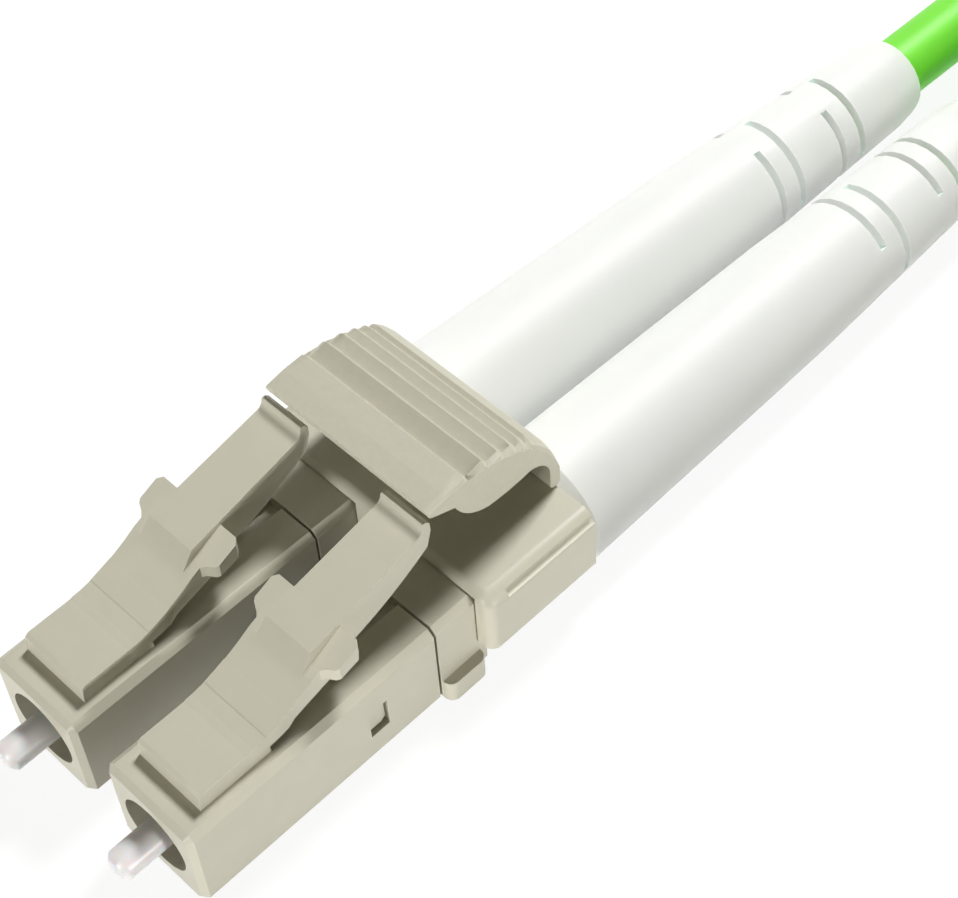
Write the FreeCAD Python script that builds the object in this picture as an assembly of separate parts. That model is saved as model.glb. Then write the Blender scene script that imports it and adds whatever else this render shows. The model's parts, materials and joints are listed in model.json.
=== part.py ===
import FreeCAD, Part
import math
import os

# Duplex LC fibre connector on the end of a patch cord, millimetres.
# Modelled with the ferrule axes along Y: tips at -Y, cables leaving at +Y, latches up (+Z).
# Each plug function works about its own ferrule axis at z = 0; the export step then drops the
# near connector on its boots and centres it on the origin.

# ---- overall -------------------------------------------------------------------------------
PITCH = 6.25            # between the two ferrule axes
SQUARE = 4.5            # across the square plug body
CORNER = 0.29           # chamfer along the body's long edges
NOSE_EDGE = 0.24        # chamfer round the front face
HOUSING_LEN = 11.5      # front housing, front face to rear edge
SEAM = 0.1              # open line between two mouldings
FIT = 0.05              # sliding or snap clearance, a side
KNUCKLE_GAP = 0.03      # running clearance round a living hinge's split

# ---- ferrule, flange and spring ----------------------------------------------------------------
FERRULE_D = 1.25
FERRULE_LEN = 6.5
FERRULE_OUT = 1.83      # how far the tip stands out of the housing
TIP_CHAMFER = 0.2
PRESS = 1.95            # ferrule length held in the flange
LEAD_IN = 0.02
GLUE = 0.01             # bond line between ferrule and flange
FERRULE_SLIDE = 0.05    # room round the far connector's ferrules
COLLAR_AF = 2.6         # hexagon collar, across flats
COLLAR_LEN = 1.28
STEM_D = 1.7
STEM_LEN = 5.5
FLOAT = 1.0             # how far the ferrule can be pushed back
FIBRE_D = 0.9           # buffered fibre
FIBRE_FIT = 0.05
SPRING_OD = 2.6
SPRING_WIRE = 0.22
SPRING_TURNS = 6
SPRING_SIDES = 8        # chords in one turn

# ---- front housing -----------------------------------------------------------------------------
NOSE_BORE_R = 1.585     # round mouth round the ferrule
NOSE_BORE_DEPTH = 2.2
STOP_WALL = 0.5         # wall that the collar rests on
STOP_HOLE_R = 1.2       # lets the adapter's sleeve reach the collar
POCKET_LEN = 1.7        # hexagon pocket that stops the collar turning
SPRING_ROOM_R = 1.6
SOCKET = 3.4            # square socket for the rear body's nose
SOCKET_START = 8.0
WINDOW_Y = 8.15
WINDOW_LEN = 0.9
WINDOW_LOW = -0.8
WINDOW_TOP = 0.68
SLOT_W = 0.85           # slot in the roof, open at the rear
SLOT_Y = 8.2

# ---- latch -------------------------------------------------------------------------------------
ROOT_W = 3.23           # root block and lower arm, across
ROOT_Y = 1.12
ROOT_TOP = 3.1
LATCH_PIVOT_Y = 4.45
LATCH_PIVOT_Z = 2.95
KNUCKLE_R = 0.33
EAR_W = 4.35            # across the two locking ears
EAR_REAR_Y = 8.38
EAR_TOP_Z = 5.08
ARM_W_LOW = 2.54        # rear arm across its underside
ARM_W_TOP = 2.06        # rear arm across its top
ARM_SHORT = 6.14        # free end, in front of the clip's rear edge
ARM_END_Z = 6.6         # top of the upturned lip at the free end
LIP_RISE = 0.5

# ---- rear body ---------------------------------------------------------------------------------
COLLAR_REAR_LEN = 2.35  # full square length behind the seam
NECK = 3.7
NOSE_FRONT_GAP = 0.05
LUG_OUT = 0.42          # snap lug above the nose's side
TAB_OUT = 0.45
TAB_LEN = 1.95
TAB_LOW = -2.2
TAB_TOP = -1.1
BODY_BORE_R = 0.95
SPIGOT_R = 1.5
SPIGOT_LEN = 5.0
TUBE_WALL = 0.34

# ---- clip --------------------------------------------------------------------------------------
CLIP_HALF = 6.18
CLIP_LEN = 5.5
CLIP_TOP = 2.62
CLIP_LOW = -0.45
SHOULDER_R = 0.65
CLIP_EDGE_R = 0.45
LEDGE = 0.5             # part of the clip that rides on the full square

# ---- trigger -----------------------------------------------------------------------------------
TRIGGER_HALF = 4.22
TRIGGER_WALL = 0.6
TRIGGER_PIVOT_IN = 0.05 # hinge line in front of the clip's rear edge; the y values below start there too
TRIGGER_PIVOT_Z = 2.87
LEG_T = 0.5
TRIGGER_LINE = ((-6.17, 7.05), (-3.6, 7.25), (-1.1, 6.3), (0.2, 3.6))   # front, crown, brow, heel
TRIGGER_FRONT_ROUND = 0.15
TRIGGER_ROUND = 0.5
TREADS = (-4.4, -3.4, -2.62, -2.0, -1.5)
TREAD_DEPTH = 0.3
TREAD_RISER = 0.22
FRONT_TREAD_MIDDLE = -5.35

# ---- crimp, boot, cable ------------------------------------------------------------------------
CRIMP_WALL = 0.12       # at the flats
CRIMP_GAP = 0.05
CABLE_D = 2.8
CABLE_SIDES = 6
BOOT_R = 2.8
BOOT_END_R = 2.0
BOOT_LEN = 27.28
BOOT_SIDES = 24
FAR_BOOT_SIDES = 14
BOOT_BREAK = 14.5       # where the taper steepens
BOOT_BREAK_R = 2.52
BOOT_CAVITY = 12.9      # depth of the room for the crimp sleeve
BOOT_CAVITY_R = 2.2
BOOT_BORE_R = 1.62
BOOT_GAP = 0.12
BOOT_LIP = 0.35         # chamfer at the front, inwards
BOOT_LIP_LEN = 0.45
BOOT_TIP_LEN = 1.2      # rounding at the cable end
BOOT_TIP_ROUND = 0.35
LEAN_A = 2.4            # degrees that boot A leans towards boot B
SLOT_RINGS = (18.05, 19.25, 21.95, 23.15)   # slot centres, from the boot's front
SLOT_STARTS_A = (-54.0, -12.0, -60.0, -11.0)
SLOT_STARTS_B = (37.0, -10.0, 40.0, 26.0)
SLOT_SPAN = 130.0
SLOT_LEN = 0.34
SLOT_DEPTH = 0.55
SLOT_CHORDS = 7

# ---- the coiled rest of the cord ---------------------------------------------------------------
TIE_T = 0.6
TIE_LEN = 10.0
BEND_R = 8.4            # inner turn of the hank, three cable diameters
HANK_Y = 80.0           # centre of the near turns
HANK_RUN = 45.0         # straight run of the hank
HANK_CHORDS = 9         # in each half turn
FAR_BOOT_END_Y = 133.0
TAIL_START = 5.0        # where the tails leave the hank, past its straight run
TAIL_TURN_A = 2.0       # where each tail's half turn starts, past the far boots' ends
TAIL_TURN_B = 5.5
FAR_X = 6.0
FAR_LIFT = 12.5         # far connector's axis above the near one's

V = FreeCAD.Vector
HALF = SQUARE / 2
FLANGE_Y = NOSE_BORE_DEPTH + STOP_WALL + 0.02
COLLAR_END = FLANGE_Y + COLLAR_LEN
STEM_END = COLLAR_END + STEM_LEN
FERRULE_END = FERRULE_LEN - FERRULE_OUT
REAR_Y = HOUSING_LEN + SEAM
NOSE_Y = SOCKET_START + NOSE_FRONT_GAP
CLIP_Y = REAR_Y + COLLAR_REAR_LEN + FIT - LEDGE
CLIP_END = CLIP_Y + CLIP_LEN
ARM_END_Y = CLIP_END - ARM_SHORT
TRIGGER_PIVOT_Y = CLIP_END - TRIGGER_PIVOT_IN
SPIGOT_END = CLIP_END + SPIGOT_LEN
CABLE_Y = SPIGOT_END + 0.25
BOOT_Y = CLIP_END + BOOT_GAP
BOOT_END = BOOT_Y + BOOT_LEN


# ---- shape helpers -----------------------------------------------------------------------------
def block(cx, width, y0, y1, z0, z1):
    return Part.makeBox(width, y1 - y0, z1 - z0, V(cx - width / 2, y0, z0))


def rod(cx, radius, y0, y1, cz=0.0):
    return Part.makeCylinder(radius, y1 - y0, V(cx, y0, cz), V(0, 1, 0))


def cross_rod(cx, width, radius, y, z):
    return Part.makeCylinder(radius, width, V(cx - width / 2, y, z), V(1, 0, 0))


def hexagon(cx, across_flats, y0, y1):
    radius = across_flats / 2 / math.cos(math.pi / 6)
    corners = []
    for i in range(7):
        a = math.radians(60 * i)
        corners.append(V(cx + radius * math.cos(a), y0, radius * math.sin(a)))
    return Part.Face(Part.makePolygon(corners)).extrude(V(0, y1 - y0, 0))


def turned(cx, profile):
    """A (y, r) outline turned about the ferrule axis."""
    points = [V(cx + r, y, 0) for y, r in profile]
    face = Part.Face(Part.makePolygon(points + points[:1]))
    return face.revolve(V(cx, 0, 0), V(0, 1, 0), 360)


def skinned(cx, profile, sides):
    """A tapered bar through (y, r) rings, on flat sides so that its mesh stays light."""
    rings = []
    for y, r in profile:
        turns = [2 * math.pi * i / sides for i in range(sides)]
        rings.append([V(cx + r * math.cos(a), y, r * math.sin(a)) for a in turns])
    faces = [Part.Face(Part.makePolygon(ring + ring[:1])) for ring in (rings[0], rings[-1])]
    for near, away in zip(rings, rings[1:]):
        for i in range(sides):
            k = (i + 1) % sides
            faces.append(Part.Face(Part.makePolygon([near[i], near[k], away[k], away[i], near[i]])))
    solid = Part.makeSolid(Part.makeShell(faces))
    if solid.Volume < 0:
        solid.reverse()
    return solid


def side_prism(cx, width, edges):
    """Edges that close an outline in the plane x = 0, extruded across the width."""
    face = Part.Face(Part.Wire(Part.__sortEdges__(edges)))
    face.translate(V(cx - width / 2, 0, 0))
    return face.extrude(V(width, 0, 0))


def lines(points):
    """Straight edges through (y, z) points."""
    pts = [V(0, y, z) for y, z in points]
    return [Part.makeLine(a, b) for a, b in zip(pts, pts[1:])]


def arc(start, middle, end):
    """One circular edge through three (y, z) points."""
    return [Part.Arc(V(0, *start), V(0, *middle), V(0, *end)).toShape()]


def along(shape, axis):
    """Straight edges of a shape that run along one axis."""
    found = []
    for edge in shape.Edges:
        if edge.Curve.TypeId != "Part::GeomLine":
            continue
        run = edge.Vertexes[-1].Point - edge.Vertexes[0].Point
        if abs(run.normalize().dot(axis)) > 0.99:
            found.append(edge)
    return found


def square_bar(cx, size, y0, y1, corner):
    bar = block(cx, size, y0, y1, -size / 2, size / 2)
    return bar.makeChamfer(corner, along(bar, V(0, 1, 0)))


# ---- one plug ----------------------------------------------------------------------------------
def front_housing(cx):
    body = square_bar(cx, SQUARE, 0, HOUSING_LEN, CORNER)
    front = [e for e in body.Edges if e.BoundBox.YMax < 1e-6]
    body = body.makeChamfer(NOSE_EDGE, front)
    roof = HALF - 0.1
    outline = lines([(ROOT_Y, roof), (ROOT_Y + 0.07, ROOT_TOP - 0.12), (ROOT_Y + 0.22, ROOT_TOP)])
    outline += lines([(ROOT_Y + 0.22, ROOT_TOP), (LATCH_PIVOT_Y - 0.85, ROOT_TOP)])
    knuckle_top = LATCH_PIVOT_Z + KNUCKLE_R
    outline += lines([(LATCH_PIVOT_Y - 0.85, ROOT_TOP), (LATCH_PIVOT_Y - 0.12, knuckle_top - 0.02)])
    outline += lines([(LATCH_PIVOT_Y - 0.12, knuckle_top - 0.02), (LATCH_PIVOT_Y - 0.12, roof)])
    outline += lines([(LATCH_PIVOT_Y - 0.12, roof), (ROOT_Y, roof)])
    body = body.fuse(side_prism(cx, ROOT_W, outline))
    seat_r = KNUCKLE_R + KNUCKLE_GAP
    body = body.cut(cross_rod(cx, ROOT_W + 1, seat_r, LATCH_PIVOT_Y, LATCH_PIVOT_Z))
    wall_end = NOSE_BORE_DEPTH + STOP_WALL
    pocket_end = wall_end + POCKET_LEN
    tools = [rod(cx, NOSE_BORE_R, -1, NOSE_BORE_DEPTH)]
    tools.append(rod(cx, STOP_HOLE_R, 1, wall_end + 0.5))
    tools.append(hexagon(cx, COLLAR_AF + 2 * FIT, wall_end, pocket_end))
    tools.append(rod(cx, SPRING_ROOM_R, pocket_end - 0.01, SOCKET_START + 0.01))
    tools.append(block(cx, SOCKET, SOCKET_START, HOUSING_LEN + 1, -SOCKET / 2, SOCKET / 2))
    tools.append(block(cx, SQUARE + 1, WINDOW_Y, WINDOW_Y + WINDOW_LEN, WINDOW_LOW, WINDOW_TOP))
    tools.append(block(cx, SLOT_W, SLOT_Y, HOUSING_LEN + 1, 0, HALF + 0.5))
    for tool in tools:
        body = body.cut(tool)
    return body.removeSplitter()


def latch(cx):
    py, pz = LATCH_PIVOT_Y, LATCH_PIVOT_Z
    top0 = (py, pz + KNUCKLE_R)
    low0 = (py, pz - KNUCKLE_R)
    ear_top, ear_under = (EAR_REAR_Y, EAR_TOP_Z), (EAR_REAR_Y, EAR_TOP_Z - 1.26)
    # lower arm: rises from the hinge to the ears
    outline = arc(top0, (5.5, 3.69), (6.5, 4.25))
    outline += lines([(6.5, 4.25), ear_top, ear_under])
    outline += arc(ear_under, (6.5, 3.26), low0)
    outline += lines([low0, top0])
    arm = side_prism(cx, ROOT_W, outline)
    arm = arm.fuse(cross_rod(cx, ROOT_W, KNUCKLE_R, py, pz))
    # ears: pegs with a swept foot in front and a clipped rear corner in plan, cut to the arm's rise
    e, w = EAR_W / 2, ROOT_W / 2
    y0, y1 = EAR_REAR_Y - 1.5, EAR_REAR_Y
    plan = [(w, y0), (w + 0.16, y0 + 0.16), (e - 0.1, y0 + 0.32), (e, y0 + 0.46), (e, y1 - 0.2), (e - 0.2, y1)]
    plan += [(-x, y) for x, y in reversed(plan)]
    ears = Part.Face(Part.makePolygon([V(cx + x, y, 3) for x, y in plan + plan[:1]])).extrude(V(0, 0, 3))
    band = [(y0, 3.86), (y0, 4.42), ear_top, (y1, EAR_TOP_Z - 0.78), (y0, 3.86)]
    ears = ears.common(side_prism(cx, EAR_W + 1, lines(band)))
    # rear arm: steps up behind the lower arm's top and runs back to the upturned lip at the free end
    y2, z2 = ARM_END_Y, ARM_END_Z
    foot, lip = (y2 - 0.68, z2 - LIP_RISE), (y2 - 0.36, z2 - 0.12)
    outline = lines([(6.34, 3.35), (6.34, 4.1), (6.97, 4.92), foot])
    outline += arc(foot, (y2 - 0.45, z2 - 0.76 * LIP_RISE), lip)
    outline += lines([lip, (y2 - 0.3, z2), (y2 - 0.17, z2), (y2, z2 - 0.17), (y2, z2 - 0.55), (y2 - 0.26, z2 - 1.24)])
    outline += arc((y2 - 0.26, z2 - 1.24), (y2 - 2.46, 4.32), (7.73, 3.6))
    outline += lines([(7.73, 3.6), (6.34, 3.35)])
    rear = side_prism(cx, ARM_W_LOW + 1, outline)
    low, high = ARM_W_LOW / 2, ARM_W_TOP / 2
    wedge = [(-low, 3), (low, 3), (high, z2 + 0.1), (-high, z2 + 0.1), (-low, 3)]
    draft = Part.Face(Part.makePolygon([V(cx + x, 6, z) for x, z in wedge])).extrude(V(0, 8, 0))
    return arm.fuse(ears).fuse(rear.common(draft)).removeSplitter()


def ferrule(cx):
    """The free length is a true cylinder; the length pressed into the flange has a slight lead-in taper."""
    r = FERRULE_D / 2
    tip = -FERRULE_OUT
    outline = [(tip, 0), (tip, r - TIP_CHAMFER), (tip + 1.2 * TIP_CHAMFER, r), (FLANGE_Y, r), (FLANGE_Y, 0)]
    held = skinned(cx, [(FLANGE_Y, r), (FERRULE_END, r - LEAD_IN)], 16)
    return turned(cx, outline).fuse(held)


def ferrule_flange(cx):
    body = hexagon(cx, COLLAR_AF, FLANGE_Y, COLLAR_END)
    body = body.fuse(skinned(cx, [(COLLAR_END - 0.1, STEM_D / 2), (STEM_END, STEM_D / 2)], 16))
    body = body.cut(rod(cx, FERRULE_D / 2 + GLUE, FLANGE_Y - 1, FLANGE_Y + PRESS))
    return body.cut(rod(cx, FIBRE_D / 2 + FIBRE_FIT, FLANGE_Y, STEM_END + 1))


def spring(cx):
    """Square-section coil on a path of short chords."""
    y0 = COLLAR_END + 0.02 + SPRING_WIRE / 2
    length = NOSE_Y - 0.02 - SPRING_WIRE / 2 - y0
    radius = (SPRING_OD - SPRING_WIRE) / 2
    steps = SPRING_TURNS * SPRING_SIDES
    path = []
    for i in range(steps + 1):
        a = 2 * math.pi * i / SPRING_SIDES
        path.append(V(cx + radius * math.cos(a), y0 + length * i / steps, radius * math.sin(a)))
    h = SPRING_WIRE / 2
    corners = ((-h, -h), (h, -h), (h, h), (-h, h), (-h, -h))
    section = Part.makePolygon([path[0] + V(a, b, 0) for a, b in corners])
    return Part.makePolygon(path).makePipeShell([section], True, False, 1)


def rear_body(cx):
    side = SOCKET - 2 * FIT
    full_end = REAR_Y + COLLAR_REAR_LEN
    body = square_bar(cx, SQUARE, REAR_Y, full_end, CORNER)
    body = body.fuse(block(cx, side, NOSE_Y, REAR_Y + 0.5, -side / 2, side / 2))
    body = body.fuse(block(cx, NECK, full_end - 0.5, CLIP_END, -NECK / 2, NECK / 2))
    body = body.fuse(rod(cx, SPIGOT_R, CLIP_END - 0.5, SPIGOT_END))
    lug = block(cx, side + 2 * LUG_OUT, WINDOW_Y + FIT, WINDOW_Y + WINDOW_LEN - FIT,
                WINDOW_LOW + 0.14, WINDOW_TOP - 0.06)
    corner = [e for e in along(lug, V(1, 0, 0)) if e.BoundBox.YMin > WINDOW_Y + 0.5 and e.BoundBox.ZMax < 0]
    body = body.fuse(lug.makeChamfer(0.2, corner))
    tab = block(cx, SQUARE + 2 * TAB_OUT, REAR_Y + 0.05, REAR_Y + 0.05 + TAB_LEN, TAB_LOW, TAB_TOP)
    body = body.fuse(tab.makeFillet(0.4, along(tab, V(0, 0, 1))))
    return body.cut(rod(cx, BODY_BORE_R, NOSE_Y - 1, SPIGOT_END + 1)).removeSplitter()


def inner_tube(cx):
    y0 = STEM_END + FLOAT + 0.2
    outer = BODY_BORE_R - FIT
    tube = skinned(cx, [(y0, outer), (SPIGOT_END, outer)], 12)
    return tube.cut(skinned(cx, [(y0 - 1, outer - TUBE_WALL), (SPIGOT_END + 1, outer - TUBE_WALL)], 12))


def fibre(cx):
    y0 = FLANGE_Y + PRESS + FLOAT + 0.1
    return rod(cx, FIBRE_D / 2, y0, CABLE_Y)


def crimp_sleeve(cx):
    """Crimped to a hexagon over the spigot."""
    inner = SPIGOT_R + CRIMP_GAP
    y0 = CLIP_END + 2 * BOOT_GAP
    return hexagon(cx, 2 * (inner + CRIMP_WALL), y0, CABLE_Y).cut(rod(cx, inner, y0 - 1, CABLE_Y + 1))


def boot_blank(cx, sides):
    """Tapered sleeve with a chamfered front and a rounded end."""
    y0, y1 = BOOT_Y, BOOT_END
    outside = [(y0, BOOT_R - BOOT_LIP), (y0 + BOOT_LIP_LEN, BOOT_R), (y0 + BOOT_BREAK, BOOT_BREAK_R)]
    outside += [(y1 - BOOT_TIP_LEN, BOOT_END_R), (y1 - BOOT_TIP_ROUND, BOOT_END_R - 0.4 * BOOT_TIP_ROUND)]
    outside += [(y1, BOOT_BORE_R + 0.3 * BOOT_TIP_ROUND)]
    return skinned(cx, outside, sides).cut(rod(cx, BOOT_BORE_R, y0 - 1, y1 + 1))


def slot_tool(cx, y, floor, start):
    """What one bend-relief slot takes away: part of a ring, in chords."""
    inner, outer = [], []
    for i in range(SLOT_CHORDS + 1):
        a = math.radians(start + SLOT_SPAN * i / SLOT_CHORDS)
        inner.append(V(cx + floor * math.cos(a), y, floor * math.sin(a)))
        outer.append(V(cx + 2 * BOOT_R * math.cos(a), y, 2 * BOOT_R * math.sin(a)))
    corners = inner + outer[::-1] + inner[:1]
    return Part.Face(Part.makePolygon(corners)).extrude(V(0, SLOT_LEN, 0))


def boot(cx, lean, starts):
    """Boot with two bend-relief slots in each ring; starts are the slots' first angles."""
    y0 = BOOT_Y
    shell = boot_blank(cx, BOOT_SIDES).cut(rod(cx, BOOT_CAVITY_R, y0 - 1, y0 + BOOT_CAVITY))
    slope = (BOOT_BREAK_R - BOOT_END_R) / (BOOT_LEN - BOOT_TIP_LEN - BOOT_BREAK)
    for centre, start in zip(SLOT_RINGS, starts):
        floor = BOOT_BREAK_R - (centre - BOOT_BREAK) * slope - SLOT_DEPTH
        for half in (0.0, 180.0):
            shell = shell.cut(slot_tool(cx, y0 + centre - SLOT_LEN / 2, floor, start + half))
    shell.rotate(V(cx, y0, 0), V(0, 0, 1), -lean)
    return shell


# ---- clip and trigger, one of each --------------------------------------------------------------
def duplex_clip(plain=False):
    y0, y1 = CLIP_Y, CLIP_END
    body = block(0, 2 * CLIP_HALF, y0, y1, CLIP_LOW, CLIP_TOP)
    shoulders = [e for e in along(body, V(0, 1, 0)) if e.BoundBox.ZMin > 0]
    if plain:
        body = body.makeChamfer(0.5 * SHOULDER_R, shoulders)
    else:
        body = body.makeFillet(SHOULDER_R, shoulders)
        uprights = [e for e in along(body, V(0, 0, 1)) if e.BoundBox.YMax < y0 + 0.1]
        body = body.makeFillet(CLIP_EDGE_R, uprights)
    room = SQUARE / 2 + FIT
    neck = NECK / 2 + FIT
    for cx in (-PITCH / 2, PITCH / 2):
        body = body.cut(block(cx, 2 * room, y0 - 1, y0 + LEDGE, CLIP_LOW - 1, room))
        body = body.cut(block(cx, 2 * neck, y0, y1 + 1, CLIP_LOW - 1, neck))
        side = CLIP_HALF - 0.02 if cx > 0 else 0.02 - CLIP_HALF
        if not plain:
            body = body.cut(rod(side, 0.22, y0 + 1.0, y1 + 1, CLIP_TOP - 0.3))
    seat = LEG_T / 2 + KNUCKLE_GAP
    body = body.cut(cross_rod(0, 2 * TRIGGER_HALF + 0.4, seat, TRIGGER_PIVOT_Y, TRIGGER_PIVOT_Z))
    return body.removeSplitter()


def trigger_section(x):
    """Side outline of the trigger at x, y from the clip's rear edge; the back rounds off near the sides."""
    inset = TRIGGER_HALF - abs(x)
    front, brow, heel = TRIGGER_LINE[0], TRIGGER_LINE[2], TRIGGER_LINE[3]

    def drop(y):
        r = TRIGGER_FRONT_ROUND + (TRIGGER_ROUND - TRIGGER_FRONT_ROUND) * (y - front[0]) / (brow[0] - front[0])
        return 0.0 if inset >= r else r - math.sqrt(r * r - (r - inset) ** 2)

    py, pz = -TRIGGER_PIVOT_IN, TRIGGER_PIVOT_Z
    r = LEG_T / 2
    depth = TREAD_DEPTH * min(1.0, inset / (0.12 * TRIGGER_ROUND))
    back = [(front[0], front[1] - drop(front[0]))]
    for y in (FRONT_TREAD_MIDDLE,) + TREADS:
        z = back_height(y) - drop(y)
        back.append((y, z))
        if y in TREADS:
            back.append((y + TREAD_RISER, z - depth))
    back.append((brow[0], brow[1] - drop(brow[0])))
    shoulder = (-0.38 - 0.3 * drop(brow[0]), 5.42 - 0.5 * drop(brow[0]))
    outline = lines([(front[0], front[1] - 0.25)] + back) + arc(back[-1], shoulder, heel)
    outline += lines([heel, (py + r, pz), (py - r, pz), (-0.29, 3.56)])
    outline += arc((-0.29, 3.56), (-0.55, 4.35), (-1.3, 4.74))
    outline += arc((-1.3, 4.74), (-2.4, 4.66), (-3.36, 4.72))
    outline += arc((-3.36, 4.72), (-4.38, 5.28), (-4.95, 6.17))
    outline += lines([(-4.95, 6.17), (front[0] + 0.1, 6.68), (front[0], front[1] - 0.25)])
    wire = Part.Wire(outline)
    wire.translate(V(x, 0, 0))
    return wire


def trigger(plain=False):
    half = TRIGGER_HALF
    stations = [half - TRIGGER_ROUND, half - 0.45 * TRIGGER_ROUND, half - 0.12 * TRIGGER_ROUND, half]
    if plain:
        body = side_prism(0, 2 * half, trigger_section(0.0).Edges)
    else:
        sections = [trigger_section(x) for x in [-x for x in reversed(stations)] + stations]
        body = Part.makeLoft(sections, True, True)
    inner = 2 * (half - TRIGGER_WALL)
    roof = [(-5.0, 6.5), (-3.4, 6.55), (-2.1, 6.2), (-1.25, 5.7), (-0.7, 5.0), (-0.4, 4.1), (-0.3, 2.0)]
    body = body.cut(side_prism(0, inner, lines(roof + [(-5.0, 2.0), (-5.0, 6.5)])))
    body = body.fuse(cross_rod(0, 2 * half, LEG_T / 2, -TRIGGER_PIVOT_IN, TRIGGER_PIVOT_Z))
    body.translate(V(0, CLIP_END, 0))
    return body


def back_height(y):
    """Height of the trigger's back at y, on the arc through its three outline points."""
    (ya, za), (yb, zb), (yc, zc) = TRIGGER_LINE[:3]
    circle = Part.Arc(V(0, ya, za), V(0, yb, zb), V(0, yc, zc)).toShape().Curve
    centre, radius = circle.Center, circle.Radius
    return centre.z + math.sqrt(radius ** 2 - (y - centre.y) ** 2)


# ---- cable runs ----------------------------------------------------------------------------------
def ring_of(sides, radius, centre, axis):
    """A many-sided face across an axis."""
    axis = V(axis).normalize()
    across = axis.cross(V(0, 0, 1)).normalize()
    up = across.cross(axis)
    corners = []
    for i in range(sides + 1):
        a = 2 * math.pi * i / sides
        corners.append(centre + across * (radius * math.cos(a)) + up * (radius * math.sin(a)))
    return Part.Face(Part.makePolygon(corners))


def cable_tube(name, points):
    """A tube on straight runs joined by tangent arcs."""
    pts = [V(*p) for p in points]
    edges = []
    last = pts[0]
    radii = []
    for before, at, after in zip(pts, pts[1:], pts[2:]):
        a, b = before - at, after - at
        run = min(a.Length, b.Length)
        turn = math.pi - a.getAngle(b)
        radii.append(0.45 * run / math.tan(turn / 2))
        a.normalize()
        b.normalize()
        start, end = at + a * (0.45 * run), at + b * (0.45 * run)
        towards = (a + b).normalize()
        middle = at + towards * (radii[-1] / math.cos(turn / 2) - radii[-1])
        edges.append(Part.LineSegment(last, start).toShape())
        edges.append(Part.Arc(start, middle, end).toShape())
        last = end
    edges.append(Part.LineSegment(last, pts[-1]).toShape())
    path = Part.Wire(edges)
    section = ring_of(CABLE_SIDES, CABLE_D / 2, pts[0], pts[1] - pts[0])
    tube = path.makePipe(section)
    ideal = section.Area * path.Length
    print(name, "length", round(path.Length, 1), "volume ratio", round(tube.Volume / ideal, 4),
          "radii", [round(q, 1) for q in radii])
    return tube


def stadium(radius, z0, z1):
    """A slab with half-round ends, in chords because the coiled cord covers them."""
    corners = []
    for y, first in ((HANK_Y + HANK_RUN, 0), (HANK_Y, 180)):
        for i in range(HANK_CHORDS + 1):
            a = math.radians(first + 180 * i / HANK_CHORDS)
            corners.append(V(radius * math.cos(a), y + radius * math.sin(a), z0))
    return Part.Face(Part.makePolygon(corners + corners[:1])).extrude(V(0, 0, z1 - z0))


FLOOR = -BOOT_R
LAYER_1 = FLOOR + TIE_T + CABLE_D / 2
OUTER_R = BEND_R + 2 * CABLE_D


def hank(level):
    z0 = FLOOR + TIE_T + 2 * CABLE_D * level
    z1 = z0 + 2 * CABLE_D
    outer, inner = OUTER_R + CABLE_D / 2, BEND_R - CABLE_D / 2
    return stadium(outer, z0, z1).cut(stadium(inner, z0 - 1, z1 + 1))


def hank_tie():
    mid = HANK_Y + HANK_RUN / 2
    half = OUTER_R + CABLE_D / 2
    z0, z1 = FLOOR + TIE_T, FLOOR + TIE_T + 4 * CABLE_D
    outer = block(0, 2 * (half + TIE_T), mid - TIE_LEN / 2, mid + TIE_LEN / 2, z0 - TIE_T, z1 + TIE_T)
    outer = outer.makeChamfer(TIE_T * 0.6, along(outer, V(0, 1, 0)))
    return outer.cut(block(0, 2 * half, mid - TIE_LEN, mid + TIE_LEN, z0, z1))


def u_turn(x0, z0, x1, z1, y):
    """Corner points of a half turn from (x0, y, z0) to (x1, y, z1), out to +Y."""
    chord = math.hypot(x1 - x0, z1 - z0)
    radius = chord / 2
    ux, uz = (x1 - x0) / chord, (z1 - z0) / chord
    reach = radius / math.cos(math.radians(22.5))
    points = []
    for i in range(4):
        a = math.radians(180 - 22.5 - 45 * i)
        s = radius + reach * math.cos(a)
        points.append((x0 + ux * s, y + reach * math.sin(a), z0 + uz * s))
    return points


def lead_a():
    x = -PITCH / 2
    lean = math.tan(math.radians(LEAN_A))
    in_boot = [(x + lean * (y - BOOT_Y), y, 0) for y in (32.75, 42.4)]
    return [(x, CABLE_Y, 0), (x, CABLE_Y + 3.0, 0)] + in_boot + [
        (-1.93, 49.8, 0), (-1.8, 58.4, 0), (-12.6, 71.6, LAYER_1), (-OUTER_R, HANK_Y + 4.0, LAYER_1)]


def lead_b():
    x = PITCH / 2
    return [(x, CABLE_Y, 0), (x, CABLE_Y + 10.0, -0.1), (x, 45.0, 0.05), (x, 55.5, 0.2), (-1.2, 61.0, 5.0),
            (-12.3, 72.4, LAYER_1 + 2 * CABLE_D + 0.15), (-OUTER_R, HANK_Y + 4.0, LAYER_1 + 2 * CABLE_D)]


def tail(side, level, turn_y):
    """From the hank's top or middle, round a half turn and into one boot of the far connector."""
    x1 = FAR_X + side * PITCH / 2
    z0 = LAYER_1 + CABLE_D + 2 * CABLE_D * level
    far_start = FAR_BOOT_END_Y - (BOOT_END - CABLE_Y)
    points = [(-OUTER_R, HANK_Y + HANK_RUN + TAIL_START, z0)]
    points += u_turn(-OUTER_R, z0, x1, FAR_LIFT, turn_y)
    points += [(x1, FAR_BOOT_END_Y - 9.0, FAR_LIFT + 0.05), (x1, far_start, FAR_LIFT)]
    return points


# ---- assembly and export -------------------------------------------------------------------------
TIP = -FERRULE_OUT
CENTRE_Y = (TIP + BOOT_END) / 2
DROP = V(0, -CENTRE_Y, BOOT_R)


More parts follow.
